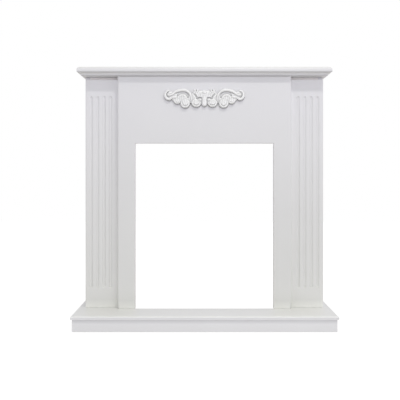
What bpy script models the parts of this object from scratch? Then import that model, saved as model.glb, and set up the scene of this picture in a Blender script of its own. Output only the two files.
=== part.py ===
"""White painted fireplace surround with a moulded shelf, a panel with the fire opening,
fluted pilasters, a hearth slab on a plinth and a carved scroll ornament on the frieze.

Metres, +Z up. The front faces -Y and the back, at +Y, goes against a wall. The origin is
on the floor, in the middle of the whole footprint.
"""
import math

import bmesh
import bpy
import numpy as np

# Clearance between pieces that touch
joint_gap = 0.0003

# Footprint
overall_width = 0.944
overall_depth = 0.380
hearth_projection = 0.155

# Plinth and hearth slab
plinth_height = 0.044
plinth_board = 0.016
plinth_setback = 0.0055
slab_thickness = 0.012
slab_edge_radius = 0.0055
slab_notch_behind_panel_face = 0.005

# Front panel with the fire opening
panel_thickness = 0.025
opening_width = 0.514
opening_height = 0.6135
leg_width = 0.0655
frieze_height = 0.2495
panel_edge_radius = 0.006
opening_edge_radius = 0.002

# Pilasters and the boards behind them
body_side_setback = 0.027
carcass_board = 0.016
pilaster_inner_offset = 0.021
pilaster_edge_radius = 0.0045
shadow_gap_height = 0.011
top_rail_height = 0.100

# Flutes
flute_count = 4
flute_pitch = 0.0241
flute_width = 0.012
flute_depth = 0.004
flute_group_from_edge = 0.0575
flute_foot = 0.075
flute_head = 0.0615
flute_sides = 24
flute_end_rings = 3

# Shelf
shelf_thickness = 0.022
shelf_front_projection = 0.032
shelf_end_setback = 0.0025
shelf_upper_radius = 0.012
shelf_lower_radius = 0.007
cornice_thickness = 0.009
cornice_top_setback = 0.008
cornice_cove = 0.0065

# Ornament
ornament_length = 0.302
ornament_centre_below_soffit = 0.0855
ornament_relief = 0.0155
ornament_foot = 0.0045
ornament_cell = 0.0027
ornament_half_reach = 0.52
ornament_half_rise = 0.15
path_samples = 14
crossing_margin = 0.15

# Shape of the ornament's strokes and leaves, in shares
stroke_blend = 0.05
groove_width = 0.35
leaf_fullness = 2.4
lip_fullness = 3.6
lip_place = 0.60
lip_width = 0.13
lip_rise = 0.22
vein_floor = 0.05
vein_reach = 2.5
flat_top_level = 0.09
flat_top_fade = 0.16
flat_top_share = 0.85

# Roundness of milled edges
arc_steps = 4

# Levels, from the floor up
slab_bottom = plinth_height
slab_top = slab_bottom + slab_thickness
opening_top = slab_top + opening_height
soffit = opening_top + frieze_height
cornice_top = soffit + cornice_thickness
shelf_top = cornice_top + shelf_thickness
pilaster_top = soffit - shadow_gap_height

# Planes, from the front to the back
slab_front = -overall_depth / 2
wall_plane = overall_depth / 2
panel_front = slab_front + hearth_projection
pilaster_front = panel_front + panel_thickness
carcass_front = pilaster_front + carcass_board
shelf_front = panel_front - shelf_front_projection

# Half widths
slab_side = overall_width / 2
body_side = slab_side - body_side_setback
opening_side = opening_width / 2
panel_side = opening_side + leg_width
niche_side = opening_side + pilaster_inner_offset
shelf_side = slab_side - shelf_end_setback

# Paint of the boards, of the cast ornament and of the hidden boards
board_paint = ("white_board_paint", (0.80, 0.80, 0.82), 0.42)
ornament_paint = ("white_ornament_paint", (0.83, 0.83, 0.84), 0.38)
inner_paint = ("thin_inner_paint", (0.74, 0.72, 0.69), 0.60)


def clear_scene():
    for old in list(bpy.data.objects):
        bpy.data.objects.remove(old)


def paint(settings):
    name, colour, roughness = settings
    material = bpy.data.materials.get(name)
    if material is None:
        material = bpy.data.materials.new(name)
        material.use_nodes = True
        shader = material.node_tree.nodes["Principled BSDF"]
        shader.inputs["Base Color"].default_value = (*colour, 1.0)
        shader.inputs["Roughness"].default_value = roughness
        shader.inputs["Metallic"].default_value = 0.0
    return material


def finish_piece(name, bm, settings, sharp_angle=35.0):
    """Turns a bmesh into a named object with its paint and its faces outward."""
    bmesh.ops.recalc_face_normals(bm, faces=bm.faces)
    mesh = bpy.data.meshes.new(name)
    bm.to_mesh(mesh)
    bm.free()
    mesh.materials.append(paint(settings))
    mesh.shade_smooth()
    mesh.set_sharp_from_angle(angle=math.radians(sharp_angle))
    piece = bpy.data.objects.new(name, mesh)
    bpy.context.collection.objects.link(piece)
    return piece


def stack_loops(loops):
    """A closed solid through loops of equal length, capped at both ends."""
    bm = bmesh.new()
    rings = [[bm.verts.new(point) for point in loop] for loop in loops]
    count = len(rings[0])
    for lower, upper in zip(rings, rings[1:]):
        for k in range(count):
            after = (k + 1) % count
            bm.faces.new((lower[k], lower[after], upper[after], upper[k]))
    bm.faces.new(rings[0])
    bm.faces.new(rings[-1])
    return bm


def board(name, low, high, settings=board_paint):
    """A plain rectangular board between two corners."""
    (x0, y0, z0), (x1, y1, z1) = low, high
    outline = [(x0, y0), (x1, y0), (x1, y1), (x0, y1)]
    bm = stack_loops([[(x, y, z) for x, y in outline] for z in (z0, z1)])
    return finish_piece(name, bm, settings)


def quarter_round(radius):
    """Pairs of (distance from the tip of the edge, distance along the thickness)."""
    for step in range(arc_steps + 1):
        angle = math.pi / 2 * step / arc_steps
        yield radius * (1 - math.cos(angle)), radius * math.sin(angle)


def moulded_board(name, profile, side, front, notch=None):
    """A board whose moulded edge runs along its front and both ends.

    profile lists (setback from the tip, height) from the underside up. notch is
    (half width, front) of a rectangle cut out of the back edge.
    """
    loops = []
    for setback, height in profile:
        end = side - setback
        outline = [(-end, front + setback), (end, front + setback), (end, wall_plane)]
        if notch:
            half, notch_front = notch
            outline += [(half, wall_plane), (half, notch_front)]
            outline += [(-half, notch_front), (-half, wall_plane)]
        outline.append((-end, wall_plane))
        loops.append([(x, y, height) for x, y in outline])
    return finish_piece(name, stack_loops(loops), board_paint)


def make_plinth():
    side = slab_side - plinth_setback
    front = slab_front + plinth_setback
    top = plinth_height - joint_gap
    board("plinth_front", (-side, front, 0), (side, front + plinth_board, top))
    return_front = front + plinth_board + joint_gap
    for label, sign in (("left", -1), ("right", 1)):
        inner, outer = sorted((sign * (side - plinth_board), sign * side))
        board("plinth_" + label, (inner, return_front, 0), (outer, wall_plane, top))


def make_slab():
    edge_start = slab_top - slab_edge_radius
    profile = [(0, slab_bottom)]
    profile += [(setback, edge_start + rise) for setback, rise in quarter_round(slab_edge_radius)]
    notch = (niche_side, panel_front + slab_notch_behind_panel_face)
    moulded_board("hearth_slab", profile, slab_side, slab_front, notch)


def rounding_at(depth, radius):
    """How far a rounded front arris stands in at a depth behind the front face."""
    if depth >= radius:
        return 0.0
    return radius - math.sqrt(radius ** 2 - (radius - depth) ** 2)


def arris_depths(*radii):
    depths = {0.0}
    for radius in radii:
        depths.update(round(radius - rise, 7) for _, rise in quarter_round(radius))
        depths.add(radius)
    return sorted(depths)


def make_front_panel():
    """One sheet: the frieze over the fire opening and the two legs beside it."""
    foot = slab_top + joint_gap
    head = soffit - joint_gap
    depths = arris_depths(panel_edge_radius, opening_edge_radius)
    depths.append(panel_thickness - joint_gap)
    loops = []
    for depth in depths:
        outer = panel_side - rounding_at(depth, panel_edge_radius)
        widening = rounding_at(depth, opening_edge_radius)
        inner = opening_side + widening
        lintel = opening_top + widening
        outline = [(-outer, foot), (-inner, foot), (-inner, lintel), (inner, lintel),
                   (inner, foot), (outer, foot), (outer, head), (-outer, head)]
        loops.append([(x, panel_front + depth, z) for x, z in outline])
    finish_piece("front_panel", stack_loops(loops), board_paint)


def flute_cutters(name, centres):
    """Round-ended rods, one for each flute, standing partly out of the pilaster face."""
    half = flute_width / 2
    radius = (half ** 2 + flute_depth ** 2) / (2 * flute_depth)
    axis_y = pilaster_front + flute_depth - radius
    low = slab_top + flute_foot + radius
    high = pilaster_top - flute_head - radius
    bm = bmesh.new()
    for centre in centres:
        rings = []
        for end, tilt in ((low, -1), (high, 1)):
            levels = range(1, flute_end_rings + 1)
            angles = [math.pi / 2 * level / (flute_end_rings + 1) for level in levels]
            angles = [0.0] + angles
            if tilt < 0:
                angles.reverse()
            for angle in angles:
                ring_radius = radius * math.cos(angle)
                height = end + tilt * radius * math.sin(angle)
                ring = []
                for side in range(flute_sides):
                    turn = math.tau * (side + 0.5) / flute_sides
                    x = centre + ring_radius * math.cos(turn)
                    y = axis_y + ring_radius * math.sin(turn)
                    ring.append(bm.verts.new((x, y, height)))
                rings.append(ring)
        for lower, upper in zip(rings, rings[1:]):
            for k in range(flute_sides):
                after = (k + 1) % flute_sides
                bm.faces.new((lower[k], lower[after], upper[after], upper[k]))
        for ring, height in ((rings[0], low - radius), (rings[-1], high + radius)):
            pole = bm.verts.new((centre, axis_y, height))
            for k in range(flute_sides):
                bm.faces.new((ring[k], ring[(k + 1) % flute_sides], pole))
    cutter = finish_piece(name, bm, board_paint)
    cutter.hide_render = True
    cutter.display_type = "WIRE"
    return cutter


def make_pilaster(label, sign):
    """A flat board with round-bottomed flutes, its outer front edge rounded."""
    foot = slab_top + joint_gap
    depths = arris_depths(pilaster_edge_radius)
    depths.append(carcass_board - joint_gap)
    loops = []
    for depth in depths:
        outer = body_side - rounding_at(depth, pilaster_edge_radius)
        outline = [(niche_side, foot), (outer, foot), (outer, pilaster_top), (niche_side, pilaster_top)]
        loops.append([(sign * x, pilaster_front + depth, z) for x, z in outline])
    name = "pilaster_" + label
    pilaster = finish_piece(name, stack_loops(loops), board_paint)
    group_centre = body_side - flute_group_from_edge
    first = group_centre - flute_pitch * (flute_count - 1) / 2
    centres = [sign * (first + flute_pitch * k) for k in range(flute_count)]
    cut = pilaster.modifiers.new("flutes", "BOOLEAN")
    cut.operation = "DIFFERENCE"
    cut.solver = "EXACT"
    cut.object = flute_cutters("flute_guide_" + label, centres)


def make_carcass():
    """Outer sides, niche cheeks and the top rail that shows in the gap over the pilasters."""
    foot = slab_top + joint_gap
    head = soffit - joint_gap
    rail_bottom = head - top_rail_height
    outer_inner_face = body_side - carcass_board
    for label, sign in (("left", -1), ("right", 1)):
        low_x, high_x = sorted((sign * outer_inner_face, sign * body_side))
        board("side_panel_" + label, (low_x, carcass_front, foot), (high_x, wall_plane, head))
        low_x, high_x = sorted((sign * niche_side, sign * (niche_side + carcass_board)))
        cheek_top = rail_bottom - joint_gap
        low, high = (low_x, carcass_front, foot), (high_x, wall_plane, cheek_top)
        board("niche_cheek_" + label, low, high, inner_paint)
    rail_end = outer_inner_face - joint_gap
    rail_back = carcass_front + carcass_board
    low, high = (-rail_end, carcass_front, rail_bottom), (rail_end, rail_back, head)
    board("top_rail", low, high, inner_paint)


def make_shelf():
    """A thin coved board under the shelf, and the shelf with its moulded edge."""
    cornice_head = cornice_top - joint_gap
    profile = []
    for setback, rise in quarter_round(1.0):
        inset = cornice_top_setback + cornice_cove * (1 - setback)
        profile.append((inset, soffit + (cornice_head - soffit) * rise))
    moulded_board("shelf_cornice", profile, shelf_side, shelf_front)

    lower = [(shelf_lower_radius - rise, cornice_top + setback)
             for setback, rise in quarter_round(shelf_lower_radius)]
    upper_start = shelf_top - shelf_upper_radius
    upper = [(setback, upper_start + rise) for setback, rise in quarter_round(shelf_upper_radius)]
    moulded_board("mantel_shelf", lower + upper, shelf_side, shelf_front)


# The ornament is a relief worked out on half of its length and mirrored. Places and widths
# are shares of the ornament's length: u from the middle outward, v from the centre up.


def arc(centre, radii, start, end):
    """Points of an elliptic arc between two angles in degrees."""
    angles = np.radians(np.linspace(start, end, path_samples))
    return np.stack([centre[0] + radii[0] * np.cos(angles), centre[1] + radii[1] * np.sin(angles)], 1)


def bow(start, end, sag=0.0):
    """Points of a shallow curve between two points, pushed sideways by sag."""
    start, end = np.array(start, float), np.array(end, float)
    share = np.linspace(0, 1, path_samples)[:, None]
    along = end - start
    across = np.array([-along[1], along[0]]) / np.linalg.norm(along)
    return start + along * share + across * sag * np.sin(np.pi * share)


def taper(first, last, swell=0.0):
    """Half widths along a path: from first to last, with a swelling between them."""
    share = np.linspace(0, 1, path_samples)
    return first + (last - first) * share + swell * np.sin(np.pi * share)


def path_distance(u, v, path, widths):
    """Distance to a path and the path's half width, at the place that each point is deepest in."""
    deepest = np.full(u.shape, -1.0)
    distance = np.ones(u.shape)
    width = np.full(u.shape, widths.min())
    for k in range(len(path) - 1):
        start, along = path[k], path[k + 1] - path[k]
        share = ((u - start[0]) * along[0] + (v - start[1]) * along[1]) / (along @ along)
        share = np.clip(share, 0.0, 1.0)
        away = np.hypot(u - start[0] - share * along[0], v - start[1] - share * along[1])
        wide = widths[k] + share * (widths[k + 1] - widths[k])
        deeper = wide - away > deepest
        deepest = np.where(deeper, wide - away, deepest)
        distance = np.where(deeper, away, distance)
        width = np.where(deeper, wide, width)
    return distance, width


class Relief:
    """Heights on a set of points, built up stroke by stroke."""

    def __init__(self, u, v):
        self.u, self.v = u, v
        self.inside = np.full(u.shape, -1.0)
        self.height = np.zeros(u.shape)

    def near(self, low, high):
        return (self.u > low[0]) & (self.u < high[0]) & (self.v > low[1]) & (self.v < high[1])

    def add(self, near, inside, height):
        """Raises the points inside an outline to a height, blended with what is there."""
        self.inside[near] = np.maximum(self.inside[near], inside)
        old = self.height[near]
        gap = np.sqrt((old - height) ** 2 + stroke_blend ** 2)
        blended = np.maximum(0.5 * (old + height + gap - stroke_blend), np.maximum(old, height))
        self.height[near] = np.where(inside > 0, blended, old)

    def stroke(self, path, widths, crest, groove=0.0):
        """A rounded band along a path, with an optional groove along its middle."""
        reach = widths.max()
        near = self.near(path.min(0) - reach, path.max(0) + reach)
        distance, width = path_distance(self.u[near], self.v[near], path, widths)
        across = np.clip(distance / width, 0.0, 1.0)
        height = crest * np.sqrt(1.0 - across ** 2) - groove * np.exp(-(across / groove_width) ** 2)
        self.add(near, width - distance, np.where(across < 1.0, height, 0.0))

    def leaf(self, centre, radii, tilt, crest, lip=0.0):
        """A domed leaf. With a lip it hangs and rises downward to a lip round its lower edge."""
        centre = np.array(centre)
        near = self.near(centre - max(radii), centre + max(radii))
        turn = math.radians(tilt)
        u, v = self.u[near] - centre[0], self.v[near] - centre[1]
        along = (u * math.cos(turn) + v * math.sin(turn)) / radii[0]
        across = (v * math.cos(turn) - u * math.sin(turn)) / radii[1]
        share = np.clip(np.hypot(along, across), 0.0, 1.0)
        height = crest * np.sqrt(1.0 - share ** (lip_fullness if lip else leaf_fullness))
        if lip:
            lower = np.clip(0.5 - v / radii[1], 0.0, 1.0)
            height *= 1.0 - lip_rise + lip_rise * lower
            height -= lip * lower * np.exp(-((share - lip_place) / lip_width) ** 2)
        self.add(near, (1.0 - share) * min(radii), np.maximum(height, 0.0))

    def carve(self, path, widths, depth):
        """A soft groove along a path, cut into what is there."""
        reach = widths.max() * vein_reach
        near = self.near(path.min(0) - reach, path.max(0) + reach)
        distance, width = path_distance(self.u[near], self.v[near], path, widths)
        old = self.height[near]
        cut = old - depth * np.exp(-(distance / width) ** 2)
        self.height[near] = np.maximum(cut, np.minimum(old, vein_floor))


def relief_fields(u, v):
    """How far each point lies inside the outline, and the relief height there, in shares."""
    relief = Relief(u, v)

    # Low web that joins the parts
    relief.stroke(bow((0.0, 0.0), (0.110, -0.010)), taper(0.062, 0.050), 0.44)
    relief.stroke(bow((0.16, 0.0), (0.36, 0.010), 0.03), taper(0.050, 0.040, 0.025), 0.50)
    relief.stroke(bow((0.34, 0.030), (0.436, 0.054)), taper(0.036, 0.042), 0.50)

    # Fan above the middle, with a bud of two tips on each side and a boss at its top
    relief.leaf((0.0, 0.042), (0.158, 0.060), 0, 0.68)
    relief.leaf((0.092, 0.058), (0.058, 0.038), 62, 0.76)
    relief.leaf((0.0, 0.050), (0.054, 0.046), 90, 0.74)
    relief.stroke(bow((0.097, 0.084), (0.084, 0.110), 0.003), taper(0.014, 0.012), 0.90)
    relief.stroke(bow((0.101, 0.084), (0.115, 0.108), -0.003), taper(0.014, 0.012), 0.90)
    relief.carve(bow((0.099, 0.122), (0.098, 0.092)), taper(0.005, 0.004), 0.34)
    relief.leaf((0.0, 0.082), (0.030, 0.024), 0, 1.00)
    for start, end, sag in (((0.056, 0.096), (0.042, 0.010), 0.004),
                            ((0.118, 0.078), (0.086, 0.020), -0.004),
                            ((0.088, 0.082), (0.066, 0.015), -0.002)):
        relief.carve(bow(start, end, sag), taper(0.0045, 0.0055), 0.13)

    # Leaf under the arch, hollow at its top, with a curled rib
    relief.leaf((0.262, 0.010), (0.090, 0.068), -8, 0.62)
    relief.carve(arc((0.268, 0.008), (0.068, 0.070), 170, 30), taper(0.010, 0.010, 0.011), 0.62)
    relief.stroke(arc((0.272, 0.008), (0.048, 0.036), 0, 180), taper(0.012, 0.014, 0.003), 0.72)

    # Hanging leaf tips and their veins
    relief.leaf((0.330, -0.018), (0.048, 0.042), -12, 0.88, 0.16)
    relief.leaf((0.099, -0.044), (0.061, 0.055), 0, 0.96, 0.26)
    relief.leaf((0.236, -0.050), (0.059, 0.060), 0, 1.00, 0.24)
    relief.leaf((0.236, -0.036), (0.030, 0.034), 0, 0.94, 0.12)
    for start, end, sag in (((0.312, 0.040), (0.262, -0.068), 0.016),
                            ((0.286, 0.046), (0.246, -0.078), 0.012),
                            ((0.258, 0.046), (0.230, -0.080), 0.006),
                            ((0.230, 0.036), (0.212, -0.070), 0.0),
                            ((0.352, 0.018), (0.348, -0.036), 0.004),
                            ((0.330, 0.020), (0.322, -0.042), 0.004),
                            ((0.134, -0.006), (0.122, -0.066), -0.004),
                            ((0.108, -0.004), (0.100, -0.074), 0.0),
                            ((0.084, -0.010), (0.080, -0.070), 0.004)):
        relief.carve(bow(start, end, sag), taper(0.004, 0.006), 0.14)

    # Valley between the fan and the leaf tip under it
    relief.carve(bow((0.166, 0.076), (0.090, 0.006), -0.016), taper(0.009, 0.010), 0.66)
    relief.carve(bow((0.090, 0.006), (0.036, 0.012), -0.004), taper(0.009, 0.006), 0.36)

    # Main scroll: the band over the arch, running outward into the volute's eye
    relief.stroke(arc((0.265, 0.006), (0.104, 0.104), 196, 92), taper(0.008, 0.019), 0.94, 0.06)
    relief.stroke(arc((0.262, 0.006), (0.148, 0.104), 92, 36), taper(0.019, 0.015), 0.94, 0.06)
    relief.stroke(bow((0.376, 0.072), (0.438, 0.048), -0.008), taper(0.015, 0.014), 0.88)

    # Outer volute round the end, running back under the band
    relief.stroke(arc((0.434, 0.050), (0.045, 0.050), 90, -100), taper(0.010, 0.018, 0.002), 0.80, 0.06)
    relief.stroke(bow((0.428, 0.001), (0.350, 0.020), -0.010), taper(0.018, 0.016), 0.76)
    relief.carve(arc((0.434, 0.052), (0.028, 0.030), 70, -80), taper(0.005, 0.006, 0.003), 0.26)
    relief.leaf((0.432, 0.050), (0.018, 0.016), 0, 0.90)

    # Knob beside the middle tongue, then the tongue itself
    relief.leaf((0.055, -0.010), (0.021, 0.019), 0, 1.00)
    relief.stroke(bow((0.0, -0.060), (0.0, 0.018)), taper(0.031, 0.024, 0.004), 0.94, 0.06)

    # The whole relief is flatter at its top
    low_share = np.clip((flat_top_level - v) / flat_top_fade, 0.0, 1.0)
    leaning = flat_top_share + (1.0 - flat_top_share) * low_share
    return relief.inside, np.clip(relief.height, 0.0, 1.0) * leaning


def crossing(first, second):
    """Where the outline crosses a grid edge, kept clear of the edge's ends."""
    return min(max(first / (first - second), crossing_margin), 1.0 - crossing_margin)


def make_ornament():
    """One cast piece: the relief on a grid, clipped to its outline, with a flat back."""
    centre_z = soffit - ornament_centre_below_soffit
    back = panel_front - joint_gap
    columns = math.ceil(ornament_half_reach * ornament_length / ornament_cell)
    rows = math.ceil(ornament_half_rise * ornament_length / ornament_cell)
    x = np.arange(-columns, columns + 1) * ornament_cell
    z = np.arange(-rows, rows + 1) * ornament_cell
    grid_x, grid_z = np.meshgrid(x, z, indexing="ij")
    inside, height = relief_fields(np.abs(grid_x) / ornament_length, grid_z / ornament_length)
    out = ornament_foot + (ornament_relief - ornament_foot) * height
    filled = inside > 0
    bm = bmesh.new()
    made = {}

    def vertex(key, place, rise):
        if key not in made:
            made[key] = bm.verts.new((place[0], back - rise, centre_z + place[1]))
        return made[key]

    touched = filled[:-1, :-1] | filled[1:, :-1] | filled[1:, 1:] | filled[:-1, 1:]
    for i, j in np.argwhere(touched):
        corners = [(i, j), (i + 1, j), (i + 1, j + 1), (i, j + 1)]
        outline = []
        for here, there in zip(corners, corners[1:] + corners[:1]):
            if filled[here]:
                outline.append(vertex(here, (x[here[0]], z[here[1]]), out[here]))
            if filled[here] != filled[there]:
                first, second = sorted((here, there))
                share = crossing(inside[first], inside[second])
                place = (x[first[0]] + share * (x[second[0]] - x[first[0]]),
                         z[first[1]] + share * (z[second[1]] - z[first[1]]))
                outline.append(vertex((first, second), place, ornament_foot))
        if len(outline) > 2:
            bm.faces.new(outline)
    bmesh.ops.triangulate(bm, faces=bm.faces, quad_method="SHORT_EDGE", ngon_method="BEAUTY")
    rim = [edge for edge in bm.edges if edge.is_boundary]
    walls = bmesh.ops.extrude_edge_only(bm, edges=rim)["geom"]
    for item in walls:
        if isinstance(item, bmesh.types.BMVert):
            item.co.y = back
    back_rim = [item for item in walls if isinstance(item, bmesh.types.BMEdge) and item.is_boundary]
    bmesh.ops.edgeloop_fill(bm, edges=back_rim)
    finish_piece("scroll_ornament", bm, ornament_paint, 50.0)


clear_scene()
make_plinth()
make_slab()
make_carcass()
make_pilaster("left", -1)
make_pilaster("right", 1)
make_front_panel()
make_shelf()
make_ornament()
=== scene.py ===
"""Looks of the white fireplace surround: finely milled boards, a carved scroll ornament,
satin white paint, a pale floor, soft studio light and the photograph's viewpoint."""
import math

import bmesh
import bpy
import numpy as np
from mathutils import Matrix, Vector


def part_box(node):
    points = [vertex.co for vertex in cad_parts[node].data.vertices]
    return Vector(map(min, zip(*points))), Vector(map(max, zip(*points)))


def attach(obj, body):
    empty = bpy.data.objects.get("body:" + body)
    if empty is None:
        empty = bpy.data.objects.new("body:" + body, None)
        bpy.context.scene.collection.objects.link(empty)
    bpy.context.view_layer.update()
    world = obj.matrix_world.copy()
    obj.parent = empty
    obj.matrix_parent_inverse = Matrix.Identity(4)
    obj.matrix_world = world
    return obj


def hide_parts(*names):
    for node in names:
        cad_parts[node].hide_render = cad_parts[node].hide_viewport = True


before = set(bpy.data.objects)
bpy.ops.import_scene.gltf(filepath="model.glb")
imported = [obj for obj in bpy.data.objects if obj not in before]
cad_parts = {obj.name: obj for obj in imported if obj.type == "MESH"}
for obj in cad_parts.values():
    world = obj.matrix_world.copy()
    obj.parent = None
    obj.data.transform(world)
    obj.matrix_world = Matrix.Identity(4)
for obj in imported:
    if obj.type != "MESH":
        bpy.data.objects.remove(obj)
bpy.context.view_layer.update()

# Photograph: image side and where the level camera's horizon lies in it
image_side = 400
horizon_row = 175
camera_distance = 2.800
camera_height = 0.552
camera_left_of_middle = 0.0163
focal_pixels = 755
sensor_width = 36.0

# Milled edges, in metres
shelf_upper_radius = 0.012
shelf_lower_radius = 0.007
cornice_top_setback = 0.008
cornice_cove = 0.0065
slab_edge_radius = 0.0055
panel_edge_radius = 0.006
opening_edge_radius = 0.002
pilaster_edge_radius = 0.0045
opening_side = 0.257
opening_top = 0.6695
slab_notch_behind_panel_face = 0.005
eased_edge = 0.0008
eased_edge_steps = 3
arc_steps = 10
joint_gap = 0.0003

# Flutes
flute_count = 4
flute_pitch = 0.0241
flute_width = 0.012
flute_depth = 0.004
flute_group_from_edge = 0.0575
flute_foot = 0.075
flute_head = 0.0615
flute_arris_softness = 0.0005
flute_columns = 31
flute_columns_reach = 1.5
flute_end_rows = 33
flute_end_rows_reach = 1.6
flute_flat_below = flute_arris_softness / 20

# Painted shade and painted highlight, kept in the mesh attribute named by shade_layer: 1 is the
# darkest painted shade, 0 the plain paint and less than 0 a painted highlight. Lists of painted
# shades follow a board's profile from its underside up.
shade_layer = "painted_shade"
painted_shade_strength = 0.45
# Depth at which the ornament's painted shade in hollows is full, and its strongest painted
# highlight on raised parts
hollow_depth = 0.0020
painted_highlight_most = -0.30
hollow_blur_cells = 5
# Painted shadow on the frieze below the ornament: how many cells up it looks, its gain and its blur
painted_shadow_reach = 13
painted_shadow_gain = 2
painted_shadow_blur_cells = 1
# Painted shade along the crease where the panel meets the soffit
painted_crease_shade = 1.0
crease_width = 0.0022
# Painted shade and painted highlight along the profiles of the shelf's nose, the cornice and the
# slab's edge
nose_painted_shades = (-0.3, -0.2, -0.1, 0.0, 0.1, 0.25, 0.4, 0.5, 0.5, 0.3, -0.05)
cornice_painted_shades = (0.0, 0.5, 0.70, 0.4, -0.1)
slab_painted_shades = (0.3, 0.1, 0.0, -0.1, 0.2, 0.1, 0.0, -0.1, -0.2, -0.25, -0.25, -0.2, -0.2, -0.1)
# Painted light on the pilasters' top edges, beside the panel and at the boards' feet, lightening
# the shade there
pilaster_top_painted_light = -0.45
beside_panel_painted_light = -0.25
foot_painted_light = -0.55
foot_height = 0.030
# Painted shadow along the plinth's top, under the slab
plinth_painted_shadow = 0.30
plinth_top_height = 0.016

# Paint texture, and the heights between which the painted shade towards the hearth fades out
cloud_detail = 5.0
cloud_from = 0.30
cloud_to = 0.70
gloss_scale = 35.0
gloss_detail = 3.0
gloss_spread = 0.05
peel_scale = 420.0
peel_detail = 2.0
peel_strength = 0.6
hearth_painted_shade = (0.945, 0.952, 0.885)
tint_from = 0.06
tint_to = 0.82

# Ornament
ornament_length = 0.302
ornament_foot = 0.0045
ornament_relief = 0.0155
ornament_centre_below_soffit = 0.0855
ornament_cell = 0.00052
frieze_patch_step = 2
ornament_half_reach = 0.52
ornament_half_rise = 0.15
path_samples = 36
crossing_margin = 0.1

# Shape of the ornament's strokes and leaves, in shares
stroke_blend = 0.05
groove_width = 0.35
leaf_fullness = 2.4
lip_fullness = 3.6
lip_place = 0.60
lip_width = 0.13
lip_rise = 0.22
vein_floor = 0.05
vein_reach = 2.5
flat_top_level = 0.09
flat_top_fade = 0.16
flat_top_share = 0.85


def noise(tree, place, scale, detail):
    """A noise texture over the object's own coordinates."""
    node = tree.nodes.new("ShaderNodeTexNoise")
    node.inputs["Scale"].default_value = scale
    node.inputs["Detail"].default_value = detail
    tree.links.new(place.outputs["Object"], node.inputs["Vector"])
    return node


def remapped(tree, socket, from_range=(0.0, 1.0), to_range=(0.0, 1.0)):
    """A value carried from one range to another."""
    node = tree.nodes.new("ShaderNodeMapRange")
    node.inputs["From Min"].default_value, node.inputs["From Max"].default_value = from_range
    node.inputs["To Min"].default_value, node.inputs["To Max"].default_value = to_range
    tree.links.new(socket, node.inputs["Value"])
    return node.outputs["Result"]


def colour_ramp(tree, socket, colours, places=None):
    """A colour that runs through the given ones, evenly spaced unless places are given."""
    node = tree.nodes.new("ShaderNodeValToRGB")
    last = len(colours) - 1
    places = places or [k / last for k in range(last + 1)]
    stops = node.color_ramp.elements
    stops[0].position, stops[1].position = places[0], places[last]
    for at in places[1:last]:
        stops.new(at)
    for stop, colour in zip(stops, colours):
        stop.color = (*colour, 1.0)
    tree.links.new(socket, node.inputs["Fac"])
    return node.outputs["Color"]


def vector_math(tree, operation, vector, other, name):
    """A vector scaled or multiplied by what another socket gives."""
    node = tree.nodes.new("ShaderNodeVectorMath")
    node.operation = operation
    tree.links.new(vector, node.inputs[0])
    tree.links.new(other, node.inputs[name])
    return node.outputs["Vector"]


def painted(name, colour, shade, roughness, peel_depth, cloud_scale=4.0,
            foot_painted_shade=(1.0, 1.0, 1.0)):
    """Sprayed paint: faint clouding down to a share of the colour, orange peel, an uneven
    gloss, painted shade and painted highlight from the mesh's shade attribute, and a painted
    shade that darkens and warms the colour towards the hearth."""
    material = bpy.data.materials.new(name)
    material.use_nodes = True
    tree = material.node_tree
    shader = tree.nodes["Principled BSDF"]
    place = tree.nodes.new("ShaderNodeTexCoord")

    cloud = noise(tree, place, cloud_scale, cloud_detail)
    clouded = colour_ramp(tree, cloud.outputs["Fac"], ([c * shade for c in colour], colour),
                          (cloud_from, cloud_to))
    # Painted shade and painted highlight from the mesh attribute: above 0 darker, below 0 lighter
    painted_shade = tree.nodes.new("ShaderNodeAttribute")
    painted_shade.attribute_name = shade_layer
    kept = tree.nodes.new("ShaderNodeMath")
    kept.operation = "MULTIPLY_ADD"
    kept.inputs[1].default_value = -painted_shade_strength
    kept.inputs[2].default_value = 1.0
    tree.links.new(painted_shade.outputs["Fac"], kept.inputs[0])
    shaded = vector_math(tree, "SCALE", clouded, kept.outputs["Value"], "Scale")

    # Painted shade: the colour darkens and warms towards the hearth
    split = tree.nodes.new("ShaderNodeSeparateXYZ")
    tree.links.new(place.outputs["Object"], split.inputs["Vector"])
    height = remapped(tree, split.outputs["Z"], (tint_from, tint_to))
    tint = colour_ramp(tree, height, (foot_painted_shade, (1.0, 1.0, 1.0)))
    tree.links.new(vector_math(tree, "MULTIPLY", shaded, tint, 1), shader.inputs["Base Color"])

    gloss = noise(tree, place, gloss_scale, gloss_detail)
    spread = (roughness - gloss_spread, roughness + gloss_spread)
    uneven = remapped(tree, gloss.outputs["Fac"], to_range=spread)
    tree.links.new(uneven, shader.inputs["Roughness"])

    peel = noise(tree, place, peel_scale, peel_detail)
    bump = tree.nodes.new("ShaderNodeBump")
    bump.inputs["Strength"].default_value = peel_strength
    bump.inputs["Distance"].default_value = peel_depth
    tree.links.new(peel.outputs["Fac"], bump.inputs["Height"])
    tree.links.new(bump.outputs["Normal"], shader.inputs["Normal"])
    return material


board_paint = painted("board_paint", (0.749, 0.746, 0.758), shade=0.975, roughness=0.42,
                      peel_depth=0.00006, foot_painted_shade=hearth_painted_shade)
# Lighter than the boards: a painted light on the slab and the plinth
lightened_hearth_paint = painted("lightened_hearth_paint", (0.830, 0.830, 0.826), shade=0.97, roughness=0.38,
                       peel_depth=0.00006)
# Lighter than the boards: a painted light on the pilasters and the outer sides
lightened_body_paint = painted("lightened_body_paint", (0.768, 0.765, 0.778), shade=0.975, roughness=0.42,
                     peel_depth=0.00006, foot_painted_shade=hearth_painted_shade)
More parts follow.
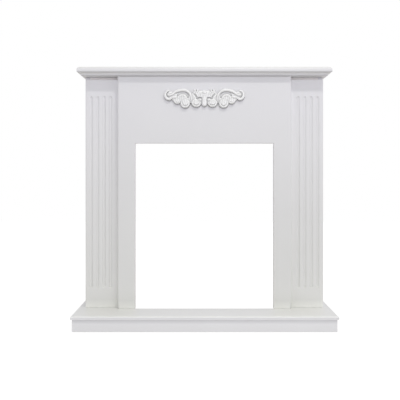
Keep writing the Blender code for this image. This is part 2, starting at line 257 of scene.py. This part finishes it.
# Near white and warm: a painted light on the inner boards that brightens the gap above the
# pilasters
inner_paint = painted("inner_paint", (0.96, 0.93, 0.90), shade=0.96, roughness=0.60,
                      peel_depth=0.00012)
ornament_paint = painted("ornament_paint", (0.79, 0.79, 0.785), shade=0.965, roughness=0.30,
                         peel_depth=0.00010, cloud_scale=30.0)


def new_piece(name, bm, material, slot, *nodes, sharp_angle=40.0):
    """Links a piece, finishes its shading and lets it stand for its CAD nodes."""
    bmesh.ops.recalc_face_normals(bm, faces=bm.faces)
    mesh = bpy.data.meshes.new(name)
    bm.to_mesh(mesh)
    bm.free()
    mesh.materials.append(material)
    mesh.shade_smooth()
    mesh.set_sharp_from_angle(angle=math.radians(sharp_angle))
    piece = bpy.data.objects.new(name, mesh)
    bpy.context.collection.objects.link(piece)
    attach(piece, "root")
    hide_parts(*nodes)
    return piece


def stack_loops(loops):
    """A closed solid through loops of equal length, capped at both ends."""
    bm = bmesh.new()
    rings = [[bm.verts.new(point) for point in loop] for loop in loops]
    count = len(rings[0])
    for lower, upper in zip(rings, rings[1:]):
        for k in range(count):
            after = (k + 1) % count
            bm.faces.new((lower[k], lower[after], upper[after], upper[k]))
    bm.faces.new(rings[0])
    bm.faces.new(rings[-1])
    return bm


def eased_board(node, material, slot, top_painted_shade=0.0):
    """A straight board with its edges eased by sanding, and an optional painted shade along its
    top.
    """
    low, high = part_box(node)
    bm = bmesh.new()
    bmesh.ops.create_cube(bm, size=1.0)
    middle, size = (low + high) / 2, high - low
    for vert in bm.verts:
        vert.co = Vector(middle[k] + vert.co[k] * size[k] for k in range(3))
    bmesh.ops.bevel(bm, geom=bm.edges[:], offset=eased_edge, segments=eased_edge_steps,
                    profile=0.5, affect="EDGES", clamp_overlap=True)
    # Painted shade on a band along the board's top
    if top_painted_shade:
        shade_start = high.z - plinth_top_height
        bmesh.ops.bisect_plane(bm, geom=bm.verts[:] + bm.edges[:] + bm.faces[:],
                               plane_co=(0.0, 0.0, shade_start), plane_no=(0.0, 0.0, 1.0))
        layer = bm.verts.layers.float.new(shade_layer)
        for vert in bm.verts:
            if vert.co.z > shade_start + eased_edge:
                vert[layer] = top_painted_shade
    return new_piece("fine_" + node, bm, material, slot, node)


def quarter_round(radius, steps=arc_steps):
    """Pairs of (distance from the tip of the edge, distance along the thickness)."""
    for step in range(steps + 1):
        angle = math.pi / 2 * step / steps
        yield radius * (1 - math.cos(angle)), radius * math.sin(angle)


def moulded_board(node, profile, material, notch=None, painted_shades=()):
    """A board whose moulded edge runs along its front and both ends.

    profile lists (setback from the tip, height) from the underside up. notch is
    (half width, front) of a rectangle cut out of the back edge. The last argument gives
    the painted shade or painted highlight at the first points of the profile.
    """
    low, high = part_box(node)
    least = min(setback for setback, _ in profile)
    loops = []
    for setback, height in profile:
        end = high.x - (setback - least)
        front = low.y + (setback - least)
        outline = [(-end, front), (end, front), (end, high.y)]
        if notch:
            half, notch_front = notch
            outline += [(half, high.y), (half, notch_front)]
            outline += [(-half, notch_front), (-half, high.y)]
        outline.append((-end, high.y))
        loops.append([(x, y, height) for x, y in outline])
    bm = stack_loops(loops)
    layer = bm.verts.layers.float.new(shade_layer)
    bm.verts.ensure_lookup_table()
    corners = len(loops[0])
    # Painted shade or painted highlight at the first points of the profile
    for k, shade in enumerate(painted_shades):
        for vert in bm.verts[k * corners:(k + 1) * corners]:
            vert[layer] = shade
    return new_piece("fine_" + node, bm, material, "board_paint", node)


def make_shelf():
    """The shelf with its rounded nose, and the coved board under it."""
    low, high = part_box("mantel_shelf")
    lower = [(shelf_lower_radius - rise, low.z + setback)
             for setback, rise in quarter_round(shelf_lower_radius)]
    upper_start = high.z - shelf_upper_radius
    upper = [(setback, upper_start + rise) for setback, rise in quarter_round(shelf_upper_radius)]
    moulded_board("mantel_shelf", lower + upper, board_paint, painted_shades=nose_painted_shades)

    low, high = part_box("shelf_cornice")
    profile = [(cornice_top_setback + cornice_cove + eased_edge, low.z)]
    for setback, rise in quarter_round(1.0):
        inset = cornice_top_setback + cornice_cove * (1 - setback)
        profile.append((inset, low.z + (high.z - low.z) * rise))
    moulded_board("shelf_cornice", profile, board_paint, painted_shades=cornice_painted_shades)


def make_hearth():
    """The slab with its rounded upper edge, cut out behind the opening."""
    low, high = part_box("hearth_slab")
    panel_low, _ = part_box("front_panel")
    cheek_low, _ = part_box("niche_cheek_right")
    edge_start = high.z - slab_edge_radius
    profile = [(eased_edge - rise, low.z + setback)
               for setback, rise in quarter_round(eased_edge, eased_edge_steps)]
    profile += [(setback, edge_start + rise) for setback, rise in quarter_round(slab_edge_radius)]
    notch = (cheek_low.x, panel_low.y + slab_notch_behind_panel_face)
    moulded_board("hearth_slab", profile, lightened_hearth_paint, notch, slab_painted_shades)


def rounding_at(depth, radius):
    """How far a rounded front arris stands in at a depth behind the front face."""
    if depth >= radius:
        return 0.0
    return radius - math.sqrt(radius ** 2 - (radius - depth) ** 2)


def arris_depths(*radii):
    """The depths behind the front face at which a panel with these arrises gets a loop."""
    depths = {0.0}
    for radius in radii:
        depths.update(round(radius - rise, 7) for _, rise in quarter_round(radius))
        depths.add(radius)
    return sorted(depths)


def blurred(field, cells):
    """The field averaged over a soft window, three box passes along each axis."""
    for _ in range(3):
        for axis in (0, 1):
            margins = [(cells + 1, cells) if k == axis else (0, 0) for k in (0, 1)]
            total = np.cumsum(np.pad(field, margins, mode="edge"), axis=axis)
            ends = total.shape[axis]
            ahead = np.take(total, range(2 * cells + 1, ends), axis=axis)
            behind = np.take(total, range(ends - 2 * cells - 1), axis=axis)
            field = (ahead - behind) / (2 * cells + 1)
    return field


def ornament_grid():
    """The ornament's grid on the frieze: places, how far inside its outline, and its rise."""
    columns = math.ceil(ornament_half_reach * ornament_length / ornament_cell)
    rows = math.ceil(ornament_half_rise * ornament_length / ornament_cell)
    x = np.arange(-columns, columns + 1) * ornament_cell
    z = np.arange(-rows, rows + 1) * ornament_cell
    grid_x, grid_z = np.meshgrid(x, z, indexing="ij")
    inside, height = relief_fields(np.abs(grid_x) / ornament_length, grid_z / ornament_length)
    rise = np.where(inside > 0, ornament_foot + (ornament_relief - ornament_foot) * height, 0.0)
    return x, z, inside, rise


def painted_shadow_below(rise):
    """A painted shadow on the frieze below the ornament, darker where more of the relief stands
    above.
    """
    relief_above = np.zeros(rise.shape)
    for step in range(painted_shadow_reach):
        relief_above[:, :rise.shape[1] - step] += rise[:, step:]
    relief_above = blurred(relief_above / (painted_shadow_reach * ornament_relief), painted_shadow_blur_cells)
    return np.clip(relief_above * painted_shadow_gain, 0.0, 1.0)


def make_front_panel(x, z, shadow):
    """The frieze and the legs beside the fire opening, with a softly rounded outer arris."""
    low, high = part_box("front_panel")
    ankle = low.z + foot_height
    crease = high.z - crease_width
    loops = []
    for depth in arris_depths(panel_edge_radius, opening_edge_radius) + [high.y - low.y]:
        outer = high.x - rounding_at(depth, panel_edge_radius)
        widening = rounding_at(depth, opening_edge_radius)
        inner = opening_side + widening
        lintel = opening_top + widening
        outline = [(-outer, ankle), (-outer, low.z), (-inner, low.z), (-inner, ankle),
                   (-inner, lintel), (inner, lintel), (inner, ankle), (inner, low.z),
                   (outer, low.z), (outer, ankle), (outer, crease), (outer, high.z),
                   (-outer, high.z), (-outer, crease)]
        loops.append([(across, low.y + depth, up) for across, up in outline])
    bm = stack_loops(loops)
    layer = bm.verts.layers.float.new(shade_layer)
    bm.verts.ensure_lookup_table()
    corners = bm.verts[:len(loops[0])]
    left_leg, right_leg, top = corners[0:4], corners[6:10], corners[10:14]
    lintel_left, lintel_right = corners[4:6]
    crease_right, top_right, top_left, crease_left = top
    # Painted light at the legs' feet, lightening the shade where they meet the slab
    for vert in left_leg[1:3] + right_leg[1:3]:
        vert[layer] = foot_painted_light
    # Painted shade along the crease under the soffit
    for vert in (top_right, top_left):
        vert[layer] = painted_crease_shade

    # The frieze behind the ornament is a grid, so that a painted shadow can darken its paint below
    # the ornament
    front = next(face for face in bm.faces if set(face.verts) == set(corners))
    bm.faces.remove(front)
    centre_z = high.z + joint_gap - ornament_centre_below_soffit
    step = frieze_patch_step
    patch = [[bm.verts.new((px, low.y, centre_z + pz)) for pz in z[::step]] for px in x[::step]]
    for column, values in zip(patch, shadow[::step, ::step]):
        for vert, value in zip(column, values):
            vert[layer] = value
    for here, there in zip(patch, patch[1:]):
        for j in range(len(here) - 1):
            bm.faces.new((here[j], there[j], there[j + 1], here[j + 1]))

    # Faces between the patch and the panel's corners
    patch_low = [column[0] for column in patch]
    patch_high = [column[-1] for column in patch]
    bm.faces.new(left_leg)
    bm.faces.new(right_leg)
    bm.faces.new([left_leg[0], left_leg[3], lintel_left] + patch[0] + [crease_left])
    bm.faces.new([lintel_left, lintel_right] + patch_low[::-1])
    bm.faces.new([lintel_right, right_leg[0], right_leg[3], crease_right] + patch[-1][::-1])
    bm.faces.new(patch_high + [crease_right, crease_left])
    bm.faces.new(top)
    new_piece("fine_front_panel", bm, board_paint, "board_paint", "front_panel")


def flute_depth_at(x, z, centres, low, high):
    """Depth of the flutes below the face, with softened arrises."""
    half = flute_width / 2
    radius = (half ** 2 + flute_depth ** 2) / (2 * flute_depth)
    slope = half / (radius - flute_depth)
    depth = np.zeros(x.shape)
    for centre in centres:
        distance = np.hypot(x - centre, z - np.clip(z, low, high))
        inner = np.sqrt(np.maximum(radius ** 2 - distance ** 2, 0)) - (radius - flute_depth)
        cut = np.where(distance < half, inner, (half - distance) * slope)
        depth = np.maximum(depth, 0.5 * (cut + np.sqrt(cut ** 2 + flute_arris_softness ** 2)))
    return np.where(depth < flute_flat_below, 0.0, depth)


def make_pilaster(label, sign):
    """The fluted board: its face is a grid that is dense only over the flutes."""
    low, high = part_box("pilaster_" + label)
    outer, inner = (high.x, low.x) if sign > 0 else (-low.x, -high.x)
    group_centre = outer - flute_group_from_edge
    first = group_centre - flute_pitch * (flute_count - 1) / 2
    centres = [first + flute_pitch * k for k in range(flute_count)]
    half = flute_width / 2
    foot, head = low.z - joint_gap + flute_foot + half, high.z - flute_head - half

    panel_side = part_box("front_panel")[1].x
    columns = {inner, panel_side}
    reach = flute_columns_reach * half
    for centre in centres:
        columns.update(centre + offset for offset in np.linspace(-reach, reach, flute_columns))
    edge_start = outer - pilaster_edge_radius
    columns.add(edge_start)
    columns = sorted(columns)
    rows = {low.z, low.z + foot_height, high.z - eased_edge, high.z}
    reach = flute_end_rows_reach * half
    for end in (foot, head):
        rows.update(end + offset for offset in np.linspace(-reach, reach, flute_end_rows))
    rows = sorted(rows)
    grid_x, grid_z = np.meshgrid(columns, rows, indexing="ij")
    depth = flute_depth_at(grid_x, grid_z, centres, foot, head)

    bm = bmesh.new()
    layer = bm.verts.layers.float.new(shade_layer)
    face = [[bm.verts.new((sign * x, low.y + depth[i, j], z)) for j, z in enumerate(rows)]
            for i, x in enumerate(columns)]
    for setback, rise in list(quarter_round(pilaster_edge_radius))[::-1][1:]:
        x, y = outer - setback, low.y + pilaster_edge_radius - rise
        face.append([bm.verts.new((sign * x, y, z)) for z in rows])
    for x in (outer, inner):
        face.append([bm.verts.new((sign * x, high.y, z)) for z in rows])
    count = len(face)
    for i in range(count):
        here, there = face[i], face[(i + 1) % count]
        for j in range(len(rows) - 1):
            bm.faces.new((here[j], there[j], there[j + 1], here[j + 1]))
    for j in (0, len(rows) - 1):
        bm.faces.new([column[j] for column in face])
    # Painted light on the top edge, at the foot and beside the panel, lightening the shade there
    for column in face:
        column[-1][layer] = pilaster_top_painted_light
        column[0][layer] = foot_painted_light
    for column in face[:2]:
        for vert in column[1:-1]:
            vert[layer] = beside_panel_painted_light
    new_piece("fine_pilaster_" + label, bm, lightened_body_paint, "board_paint", "pilaster_" + label)


# The ornament is a relief worked out on half of its length and mirrored. Places and widths
# are shares of the ornament's length: u from the middle outward, v from the centre up.


def arc(centre, radii, start, end):
    """Points of an elliptic arc between two angles in degrees."""
    angles = np.radians(np.linspace(start, end, path_samples))
    u = centre[0] + radii[0] * np.cos(angles)
    v = centre[1] + radii[1] * np.sin(angles)
    return np.stack([u, v], 1)


def bow(start, end, sag=0.0):
    """Points of a shallow curve between two points, pushed sideways by sag."""
    start, end = np.array(start, float), np.array(end, float)
    share = np.linspace(0, 1, path_samples)[:, None]
    along = end - start
    across = np.array([-along[1], along[0]]) / np.linalg.norm(along)
    return start + along * share + across * sag * np.sin(np.pi * share)


def taper(first, last, swell=0.0):
    """Half widths along a path: from first to last, with a swelling between them."""
    share = np.linspace(0, 1, path_samples)
    return first + (last - first) * share + swell * np.sin(np.pi * share)


def path_distance(u, v, path, widths):
    """Distance to a path and the path's half width, at the place that each point is deepest in."""
    deepest = np.full(u.shape, -1.0)
    distance = np.ones(u.shape)
    width = np.full(u.shape, widths.min())
    for k in range(len(path) - 1):
        start, along = path[k], path[k + 1] - path[k]
        share = ((u - start[0]) * along[0] + (v - start[1]) * along[1]) / (along @ along)
        share = np.clip(share, 0.0, 1.0)
        away = np.hypot(u - start[0] - share * along[0], v - start[1] - share * along[1])
        wide = widths[k] + share * (widths[k + 1] - widths[k])
        deeper = wide - away > deepest
        deepest = np.where(deeper, wide - away, deepest)
        distance = np.where(deeper, away, distance)
        width = np.where(deeper, wide, width)
    return distance, width


class Relief:
    """Heights on a set of points, built up stroke by stroke."""

    def __init__(self, u, v):
        self.u, self.v = u, v
        self.inside = np.full(u.shape, -1.0)
        self.height = np.zeros(u.shape)

    def near(self, low, high):
        """Which points lie in a rectangle."""
        return (self.u > low[0]) & (self.u < high[0]) & (self.v > low[1]) & (self.v < high[1])

    def add(self, near, inside, height):
        """Raises the points inside an outline to a height, blended with what is there."""
        self.inside[near] = np.maximum(self.inside[near], inside)
        old = self.height[near]
        gap = np.sqrt((old - height) ** 2 + stroke_blend ** 2)
        blended = np.maximum(0.5 * (old + height + gap - stroke_blend), np.maximum(old, height))
        self.height[near] = np.where(inside > 0, blended, old)

    def stroke(self, path, widths, crest, groove=0.0):
        """A rounded band along a path, with an optional groove along its middle."""
        reach = widths.max()
        near = self.near(path.min(0) - reach, path.max(0) + reach)
        distance, width = path_distance(self.u[near], self.v[near], path, widths)
        across = np.clip(distance / width, 0.0, 1.0)
        height = crest * np.sqrt(1.0 - across ** 2) - groove * np.exp(-(across / groove_width) ** 2)
        self.add(near, width - distance, np.where(across < 1.0, height, 0.0))

    def leaf(self, centre, radii, tilt, crest, lip=0.0):
        """A domed leaf. With a lip it hangs and rises downward to a lip round its lower edge."""
        centre = np.array(centre)
        near = self.near(centre - max(radii), centre + max(radii))
        turn = math.radians(tilt)
        u, v = self.u[near] - centre[0], self.v[near] - centre[1]
        along = (u * math.cos(turn) + v * math.sin(turn)) / radii[0]
        across = (v * math.cos(turn) - u * math.sin(turn)) / radii[1]
        share = np.clip(np.hypot(along, across), 0.0, 1.0)
        height = crest * np.sqrt(1.0 - share ** (lip_fullness if lip else leaf_fullness))
        if lip:
            lower = np.clip(0.5 - v / radii[1], 0.0, 1.0)
            height *= 1.0 - lip_rise + lip_rise * lower
            height -= lip * lower * np.exp(-((share - lip_place) / lip_width) ** 2)
        self.add(near, (1.0 - share) * min(radii), np.maximum(height, 0.0))

    def carve(self, path, widths, depth):
        """A soft groove along a path, cut into what is there."""
        reach = widths.max() * vein_reach
        near = self.near(path.min(0) - reach, path.max(0) + reach)
        distance, width = path_distance(self.u[near], self.v[near], path, widths)
        old = self.height[near]
        cut = old - depth * np.exp(-(distance / width) ** 2)
        self.height[near] = np.maximum(cut, np.minimum(old, vein_floor))


def relief_fields(u, v):
    """How far each point lies inside the outline, and the relief height there, in shares."""
    relief = Relief(u, v)

    # Low web that joins the parts
    relief.stroke(bow((0.0, 0.0), (0.110, -0.010)), taper(0.062, 0.050), 0.44)
    relief.stroke(bow((0.16, 0.0), (0.36, 0.010), 0.03), taper(0.050, 0.040, 0.025), 0.50)
    relief.stroke(bow((0.34, 0.030), (0.436, 0.054)), taper(0.036, 0.042), 0.50)

    # Fan above the middle, with a bud of two tips on each side and a boss at its top
    relief.leaf((0.0, 0.042), (0.158, 0.060), 0, 0.68)
    relief.leaf((0.092, 0.058), (0.058, 0.038), 62, 0.76)
    relief.leaf((0.0, 0.050), (0.054, 0.046), 90, 0.74)
    relief.stroke(bow((0.097, 0.084), (0.084, 0.110), 0.003), taper(0.014, 0.012), 0.90)
    relief.stroke(bow((0.101, 0.084), (0.115, 0.108), -0.003), taper(0.014, 0.012), 0.90)
    relief.carve(bow((0.099, 0.122), (0.098, 0.092)), taper(0.005, 0.004), 0.34)
    relief.leaf((0.0, 0.082), (0.030, 0.024), 0, 1.00)
    for start, end, sag in (((0.056, 0.096), (0.042, 0.010), 0.004),
                            ((0.118, 0.078), (0.086, 0.020), -0.004),
                            ((0.088, 0.082), (0.066, 0.015), -0.002)):
        relief.carve(bow(start, end, sag), taper(0.0045, 0.0055), 0.13)

    # Leaf under the arch, hollow at its top, with a curled rib
    relief.leaf((0.262, 0.010), (0.090, 0.068), -8, 0.62)
    relief.carve(arc((0.268, 0.008), (0.068, 0.070), 170, 30), taper(0.010, 0.010, 0.014), 0.66)
    relief.stroke(arc((0.272, 0.008), (0.048, 0.036), 0, 180), taper(0.012, 0.014, 0.003), 0.72)

    # Hanging leaf tips and their veins
    relief.leaf((0.330, -0.018), (0.048, 0.042), -12, 0.88, 0.24)
    relief.leaf((0.099, -0.044), (0.061, 0.055), 0, 0.96, 0.36)
    relief.leaf((0.236, -0.050), (0.059, 0.060), 0, 1.00, 0.36)
    relief.leaf((0.236, -0.036), (0.030, 0.034), 0, 0.94, 0.12)
    for start, end, sag in (((0.312, 0.040), (0.262, -0.068), 0.016),
                            ((0.286, 0.046), (0.246, -0.078), 0.012),
                            ((0.258, 0.046), (0.230, -0.080), 0.006),
                            ((0.230, 0.036), (0.212, -0.070), 0.0),
                            ((0.352, 0.018), (0.348, -0.036), 0.004),
                            ((0.330, 0.020), (0.322, -0.042), 0.004),
                            ((0.134, -0.006), (0.122, -0.066), -0.004),
                            ((0.108, -0.004), (0.100, -0.074), 0.0),
                            ((0.084, -0.010), (0.080, -0.070), 0.004)):
        relief.carve(bow(start, end, sag), taper(0.004, 0.006), 0.08)

    # Valley between the fan and the leaf tip under it
    relief.carve(bow((0.166, 0.076), (0.090, 0.006), -0.016), taper(0.009, 0.010), 0.66)
    relief.carve(bow((0.090, 0.006), (0.036, 0.012), -0.004), taper(0.009, 0.006), 0.50)

    # Main scroll: the band over the arch, running outward into the volute's eye
    relief.stroke(arc((0.265, 0.006), (0.104, 0.104), 196, 92), taper(0.008, 0.019), 0.94, 0.06)
    relief.stroke(arc((0.262, 0.006), (0.148, 0.104), 92, 36), taper(0.019, 0.015), 0.94, 0.06)
    relief.stroke(bow((0.376, 0.072), (0.438, 0.048), -0.008), taper(0.015, 0.014), 0.88)

    # Outer volute round the end, running back under the band
    relief.stroke(arc((0.434, 0.050), (0.045, 0.050), 90, -100), taper(0.010, 0.018, 0.002),
                  0.80, 0.06)
    relief.stroke(bow((0.428, 0.001), (0.350, 0.020), -0.010), taper(0.018, 0.016), 0.76)
    relief.carve(arc((0.434, 0.052), (0.028, 0.030), 70, -80), taper(0.005, 0.006, 0.003), 0.14)
    relief.leaf((0.432, 0.050), (0.018, 0.016), 0, 0.90)

    # Knob beside the middle tongue, then the tongue itself
    relief.leaf((0.055, -0.010), (0.021, 0.019), 0, 1.00)
    relief.stroke(bow((0.0, -0.060), (0.0, 0.018)), taper(0.031, 0.024, 0.004), 0.94, 0.06)

    # The whole relief is flatter at its top
    low_share = np.clip((flat_top_level - v) / flat_top_fade, 0.0, 1.0)
    leaning = flat_top_share + (1.0 - flat_top_share) * low_share
    return relief.inside, np.clip(relief.height, 0.0, 1.0) * leaning


def crossing(first, second):
    """Where the outline crosses a grid edge, kept clear of the edge's ends."""
    return min(max(first / (first - second), crossing_margin), 1.0 - crossing_margin)


def make_ornament(x, z, inside, rise, shadow):
    """One cast piece: the relief on a fine grid, clipped to its outline, with a flat back."""
    centre_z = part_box("front_panel")[1].z + joint_gap - ornament_centre_below_soffit
    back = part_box("scroll_ornament")[1].y
    # Painted shade in the relief's hollows and painted highlight on its raised parts
    painted_shade = np.clip((blurred(rise, hollow_blur_cells) - rise) / hollow_depth, painted_highlight_most, 1.0)
    filled = inside > 0
    bm = bmesh.new()
    layer = bm.verts.layers.float.new(shade_layer)
    made = {}

    def vertex(key, place, out, shade):
        if key not in made:
            made[key] = bm.verts.new((place[0], back - out, centre_z + place[1]))
            made[key][layer] = shade
        return made[key]

    touched = filled[:-1, :-1] | filled[1:, :-1] | filled[1:, 1:] | filled[:-1, 1:]
    for i, j in np.argwhere(touched):
        corners = [(i, j), (i + 1, j), (i + 1, j + 1), (i, j + 1)]
        outline = []
        for here, there in zip(corners, corners[1:] + corners[:1]):
            if filled[here]:
                outline.append(vertex(here, (x[here[0]], z[here[1]]), rise[here], painted_shade[here]))
            if filled[here] != filled[there]:
                first, second = sorted((here, there))
                share = crossing(inside[first], inside[second])
                place = (x[first[0]] + share * (x[second[0]] - x[first[0]]),
                         z[first[1]] + share * (z[second[1]] - z[first[1]]))
                # The rim takes the painted shadow of the frieze just outside it
                shade = shadow[there if filled[here] else here]
                outline.append(vertex((first, second), place, ornament_foot, shade))
        if len(outline) > 2:
            bm.faces.new(outline)
    rim = [edge for edge in bm.edges if edge.is_boundary]
    walls = bmesh.ops.extrude_edge_only(bm, edges=rim)["geom"]
    for item in walls:
        if isinstance(item, bmesh.types.BMVert):
            item.co.y = back
    back_rim = [item for item in walls if isinstance(item, bmesh.types.BMEdge) and item.is_boundary]
    bmesh.ops.edgeloop_fill(bm, edges=back_rim)
    new_piece("fine_scroll_ornament", bm, ornament_paint, "ornament_paint", "scroll_ornament",
              sharp_angle=70.0)


def make_boards():
    """The plain boards: the plinth, the outer sides, and what is behind the panel."""
    for node in ("plinth_front", "plinth_left", "plinth_right"):
        eased_board(node, lightened_hearth_paint, "board_paint", plinth_painted_shadow)
    for node in ("side_panel_left", "side_panel_right"):
        eased_board(node, lightened_body_paint, "board_paint")
    for node in ("niche_cheek_left", "niche_cheek_right", "top_rail"):
        eased_board(node, inner_paint, "inner_paint")


def make_camera():
    """A level camera straight in front, with the picture shifted down as in the photograph."""
    panel_low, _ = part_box("front_panel")
    data = bpy.data.cameras.new("camera")
    data.sensor_width = sensor_width
    data.lens = focal_pixels * sensor_width / image_side
    data.shift_y = -(image_side / 2 - horizon_row) / image_side
    camera = bpy.data.objects.new("camera", data)
    camera.location = (-camera_left_of_middle, panel_low.y - camera_distance, camera_height)
    camera.rotation_euler = (math.pi / 2, 0.0, 0.0)
    bpy.context.collection.objects.link(camera)
    bpy.context.scene.camera = camera


# Studio light. Sky colours go from straight down to straight up in equal steps, for the
# side that the camera is on and for the side behind the object. The sky's strength goes
# from left to right.
key_place = (0.2989, -1.0314, 2.0756)
key_target = (0.0, -0.035, 0.86)
key_size = 0.11
key_power = 6.3
key_colour = (1.0, 1.0, 0.97)
front_sky = ((0.70, 0.69, 0.57), (0.39, 0.40, 0.37), (1.70, 1.66, 1.83), (0.27, 0.31, 0.27),
             (1.12, 1.08, 0.93))
back_sky = ((0.70, 0.69, 0.57), (0.84, 0.78, 0.82), (0.59, 0.56, 0.58), (0.77, 0.80, 0.96),
            (1.12, 1.08, 0.93))
sky_left = 0.85
sky_right = 1.15


def make_key():
    """A small soft lamp high in front."""
    data = bpy.data.lights.new("key", "AREA")
    data.shape = "DISK"
    data.size = key_size
    data.energy = key_power
    data.color = key_colour
    key = bpy.data.objects.new("key", data)
    key.location = key_place
    towards = Vector(key_place) - Vector(key_target)
    key.rotation_euler = towards.to_track_quat("Z", "Y").to_euler()
    bpy.context.collection.objects.link(key)


def make_sky():
    """Graded light from all round, with a white backdrop where the camera sees past the object."""
    world = bpy.data.worlds.new("studio")
    bpy.context.scene.world = world
    world.use_nodes = True
    tree = world.node_tree
    tree.nodes.clear()
    place = tree.nodes.new("ShaderNodeTexCoord")
    split = tree.nodes.new("ShaderNodeSeparateXYZ")
    tree.links.new(place.outputs["Generated"], split.inputs["Vector"])
    height = remapped(tree, split.outputs["Z"], (-1.0, 1.0))
    turn = remapped(tree, split.outputs["Y"], (-1.0, 1.0))
    blend = tree.nodes.new("ShaderNodeMix")
    blend.data_type = "RGBA"
    blend.clamp_result = False
    front_socket, back_socket = [socket for socket in blend.inputs if socket.type == "RGBA"]
    tree.links.new(turn, blend.inputs[0])
    tree.links.new(colour_ramp(tree, height, front_sky), front_socket)
    tree.links.new(colour_ramp(tree, height, back_sky), back_socket)

    soft = tree.nodes.new("ShaderNodeBackground")
    blended = next(socket for socket in blend.outputs if socket.type == "RGBA")
    tree.links.new(blended, soft.inputs["Color"])
    across = remapped(tree, split.outputs["X"], (-1.0, 1.0), (sky_left, sky_right))
    tree.links.new(across, soft.inputs["Strength"])
    backdrop = tree.nodes.new("ShaderNodeBackground")
    backdrop.inputs["Color"].default_value = (1.0, 1.0, 1.0, 1.0)
    path = tree.nodes.new("ShaderNodeLightPath")
    mix = tree.nodes.new("ShaderNodeMixShader")
    tree.links.new(path.outputs["Is Camera Ray"], mix.inputs["Fac"])
    tree.links.new(soft.outputs["Background"], mix.inputs[1])
    tree.links.new(backdrop.outputs["Background"], mix.inputs[2])
    output = tree.nodes.new("ShaderNodeOutputWorld")
    tree.links.new(mix.outputs["Shader"], output.inputs["Surface"])
    bpy.context.scene.view_settings.view_transform = "Standard"


floor_half_side = 6.0
floor_grey = 0.30
floor_roughness = 0.9
floor_glow = 0.82


def make_floor():
    """A pale studio floor, bright enough to meet the white backdrop without an edge."""
    bm = bmesh.new()
    bmesh.ops.create_grid(bm, x_segments=1, y_segments=1, size=floor_half_side)
    mesh = bpy.data.meshes.new("floor")
    bm.to_mesh(mesh)
    bm.free()
    floor = bpy.data.objects.new("floor", mesh)
    bpy.context.collection.objects.link(floor)
    material = bpy.data.materials.new("floor_white")
    material.use_nodes = True
    shader = material.node_tree.nodes["Principled BSDF"]
    shader.inputs["Base Color"].default_value = (floor_grey, floor_grey, floor_grey, 1.0)
    shader.inputs["Roughness"].default_value = floor_roughness
    shader.inputs["Specular IOR Level"].default_value = 0.0
    shader.inputs["Emission Color"].default_value = (1.0, 1.0, 1.0, 1.0)
    shader.inputs["Emission Strength"].default_value = floor_glow
    mesh.materials.append(material)
    floor.visible_diffuse = False
    floor.visible_glossy = False


make_camera()
make_key()
make_sky()
make_floor()
make_boards()
make_hearth()
for side_label, side_sign in (("left", -1), ("right", 1)):
    make_pilaster(side_label, side_sign)
make_shelf()
grid_x_places, grid_z_places, outline_inside, relief_rise = ornament_grid()
frieze_painted_shadow = painted_shadow_below(relief_rise)
make_front_panel(grid_x_places, grid_z_places, frieze_painted_shadow)
make_ornament(grid_x_places, grid_z_places, outline_inside, relief_rise, frieze_painted_shadow)
